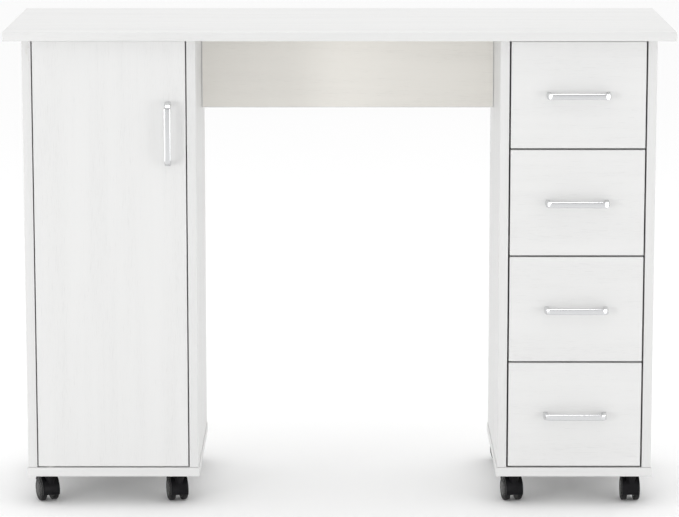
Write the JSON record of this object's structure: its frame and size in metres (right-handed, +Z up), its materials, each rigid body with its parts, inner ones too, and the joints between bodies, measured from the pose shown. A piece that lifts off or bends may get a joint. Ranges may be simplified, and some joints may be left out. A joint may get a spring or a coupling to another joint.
{
  "type": "sewing table",
  "caption": "Rolling sewing desk: a wide worktop on a door cabinet and a drawer pedestal, with a knee space and modesty panel between them, on swivel casters.",
  "frame": {"origin": "on the floor, under the middle of the worktop", "axes": "+X to the user's right, along the worktop; +Y to the wall; +Z up"},
  "size_m": [1.1, 0.4043, 0.8],
  "materials": {
    "white_melamine": "white melamine on particle board, faint embossed grain, satin",
    "white_wrap": "white foil on thin particle board, satin",
    "white_hardboard": "white lacquered hardboard, satin",
    "chrome": "bright plated",
    "steel": "zinc plated",
    "white_powder_coat": "white powder coat",
    "white_nylon": "moulded, matt",
    "black_nylon": "moulded, fine spark texture",
    "black_wheel": "moulded, semi-matt tread"
  },
  "bodies": {
    "carcass": {"worktop": "white_melamine", "modesty_panel": "white_melamine", "cabinet_side_left": "white_melamine", "cabinet_side_right": "white_melamine", "cabinet_bottom": "white_melamine", "pedestal_side_left": "white_melamine", "pedestal_side_right": "white_melamine", "pedestal_bottom": "white_melamine", "cabinet_shelf_1": "white_melamine", "cabinet_shelf_2": "white_melamine", "cabinet_back": "white_hardboard", "pedestal_back": "white_hardboard", "door_bush_upper": "white_nylon", "door_bush_lower": "white_nylon", "door_catch": "white_nylon", "drawer_1_slide_left": "white_powder_coat", "drawer_1_slide_right": "white_powder_coat", "drawer_2_slide_left": "white_powder_coat", "drawer_2_slide_right": "white_powder_coat", "drawer_3_slide_left": "white_powder_coat", "drawer_3_slide_right": "white_powder_coat", "drawer_4_slide_left": "white_powder_coat", "drawer_4_slide_right": "white_powder_coat"},
    "door": {"door_panel": "white_melamine", "door_pin_upper": "steel", "door_pin_lower": "steel", "door_handle": "chrome", "door_strike": "steel"},
    "drawer_1": {"drawer_1_front": "white_melamine", "drawer_1_wrap": "white_wrap", "drawer_1_bottom": "white_hardboard", "drawer_1_handle": "chrome"},
    "drawer_2": {"drawer_2_front": "white_melamine", "drawer_2_wrap": "white_wrap", "drawer_2_bottom": "white_hardboard", "drawer_2_handle": "chrome"},
    "drawer_3": {"drawer_3_front": "white_melamine", "drawer_3_wrap": "white_wrap", "drawer_3_bottom": "white_hardboard", "drawer_3_handle": "chrome"},
    "drawer_4": {"drawer_4_front": "white_melamine", "drawer_4_wrap": "white_wrap", "drawer_4_bottom": "white_hardboard", "drawer_4_handle": "chrome"},
    "caster_1_hood": {"caster_1_housing": "black_nylon"},
    "caster_1_wheel_pair": {"caster_1_wheels": "black_wheel"},
    "caster_2_hood": {"caster_2_housing": "black_nylon"},
    "caster_2_wheel_pair": {"caster_2_wheels": "black_wheel"},
    "caster_3_hood": {"caster_3_housing": "black_nylon"},
    "caster_3_wheel_pair": {"caster_3_wheels": "black_wheel"},
    "caster_4_hood": {"caster_4_housing": "black_nylon"},
    "caster_4_wheel_pair": {"caster_4_wheels": "black_wheel"},
    "caster_5_hood": {"caster_5_housing": "black_nylon"},
    "caster_5_wheel_pair": {"caster_5_wheels": "black_wheel"},
    "caster_6_hood": {"caster_6_housing": "black_nylon"},
    "caster_6_wheel_pair": {"caster_6_wheels": "black_wheel"},
    "caster_7_hood": {"caster_7_housing": "black_nylon"},
    "caster_7_wheel_pair": {"caster_7_wheels": "black_wheel"},
    "caster_8_hood": {"caster_8_housing": "black_nylon"},
    "caster_8_wheel_pair": {"caster_8_wheels": "black_wheel"}
  },
  "joints": [
    {"name": "door_pivot", "type": "hinge", "parent": "carcass", "child": "door", "pos_m": [-0.484, -0.1725, 0.4255], "axis": [0, 0, -1], "range_deg": [0, 110]},
    {"name": "drawer_1_travel", "type": "slide", "parent": "carcass", "child": "drawer_1", "axis": [0, -1, 0], "range_m": [0, 0.2]},
    {"name": "drawer_2_travel", "type": "slide", "parent": "carcass", "child": "drawer_2", "axis": [0, -1, 0], "range_m": [0, 0.2]},
    {"name": "drawer_3_travel", "type": "slide", "parent": "carcass", "child": "drawer_3", "axis": [0, -1, 0], "range_m": [0, 0.2]},
    {"name": "drawer_4_travel", "type": "slide", "parent": "carcass", "child": "drawer_4", "axis": [0, -1, 0], "range_m": [0, 0.2]},
    {"name": "caster_1_swivel", "type": "hinge", "parent": "carcass", "child": "caster_1_hood", "pos_m": [-0.487, -0.153, 0.051], "axis": [0, 0, 1], "continuous": true},
    {"name": "caster_1_roll", "type": "hinge", "parent": "caster_1_hood", "child": "caster_1_wheel_pair", "pos_m": [-0.49364, -0.13735, 0.02], "axis": [0.9205, 0.3907, 0], "continuous": true},
    {"name": "caster_2_swivel", "type": "hinge", "parent": "carcass", "child": "caster_2_hood", "pos_m": [-0.27, -0.153, 0.051], "axis": [0, 0, 1], "continuous": true},
    {"name": "caster_2_roll", "type": "hinge", "parent": "caster_2_hood", "child": "caster_2_wheel_pair", "pos_m": [-0.2744, -0.13658, 0.02], "axis": [0.9659, 0.2588, 0], "continuous": true},
    {"name": "caster_3_swivel", "type": "hinge", "parent": "carcass", "child": "caster_3_hood", "pos_m": [-0.487, 0.123, 0.051], "axis": [0, 0, 1], "continuous": true},
    {"name": "caster_3_roll", "type": "hinge", "parent": "caster_3_hood", "child": "caster_3_wheel_pair", "pos_m": [-0.48937, 0.13983, 0.02], "axis": [0.9903, 0.1392, 0], "continuous": true},
    {"name": "caster_4_swivel", "type": "hinge", "parent": "carcass", "child": "caster_4_hood", "pos_m": [-0.27, 0.123, 0.051], "axis": [0, 0, 1], "continuous": true},
    {"name": "caster_4_roll", "type": "hinge", "parent": "caster_4_hood", "child": "caster_4_wheel_pair", "pos_m": [-0.27581, 0.13897, 0.02], "axis": [0.9397, 0.342, 0], "continuous": true},
    {"name": "caster_5_swivel", "type": "hinge", "parent": "carcass", "child": "caster_5_hood", "pos_m": [0.294, -0.153, 0.051], "axis": [0, 0, 1], "continuous": true},
    {"name": "caster_5_roll", "type": "hinge", "parent": "caster_5_hood", "child": "caster_5_wheel_pair", "pos_m": [0.29076, -0.13631, 0.02], "axis": [0.9816, 0.1908, 0], "continuous": true},
    {"name": "caster_6_swivel", "type": "hinge", "parent": "carcass", "child": "caster_6_hood", "pos_m": [0.491, -0.153, 0.051], "axis": [0, 0, 1], "continuous": true},
    {"name": "caster_6_roll", "type": "hinge", "parent": "caster_6_hood", "child": "caster_6_wheel_pair", "pos_m": [0.49041, -0.13601, 0.02], "axis": [0.9994, 0.0349, 0], "continuous": true},
    {"name": "caster_7_swivel", "type": "hinge", "parent": "carcass", "child": "caster_7_hood", "pos_m": [0.294, 0.123, 0.051], "axis": [0, 0, 1], "continuous": true},
    {"name": "caster_7_roll", "type": "hinge", "parent": "caster_7_hood", "child": "caster_7_wheel_pair", "pos_m": [0.28875, 0.13917, 0.02], "axis": [0.9511, 0.309, 0], "continuous": true},
    {"name": "caster_8_swivel", "type": "hinge", "parent": "carcass", "child": "caster_8_hood", "pos_m": [0.491, 0.123, 0.051], "axis": [0, 0, 1], "continuous": true},
    {"name": "caster_8_roll", "type": "hinge", "parent": "caster_8_hood", "child": "caster_8_wheel_pair", "pos_m": [0.48922, 0.13991, 0.02], "axis": [0.9945, 0.1045, 0], "continuous": true}
  ]
}
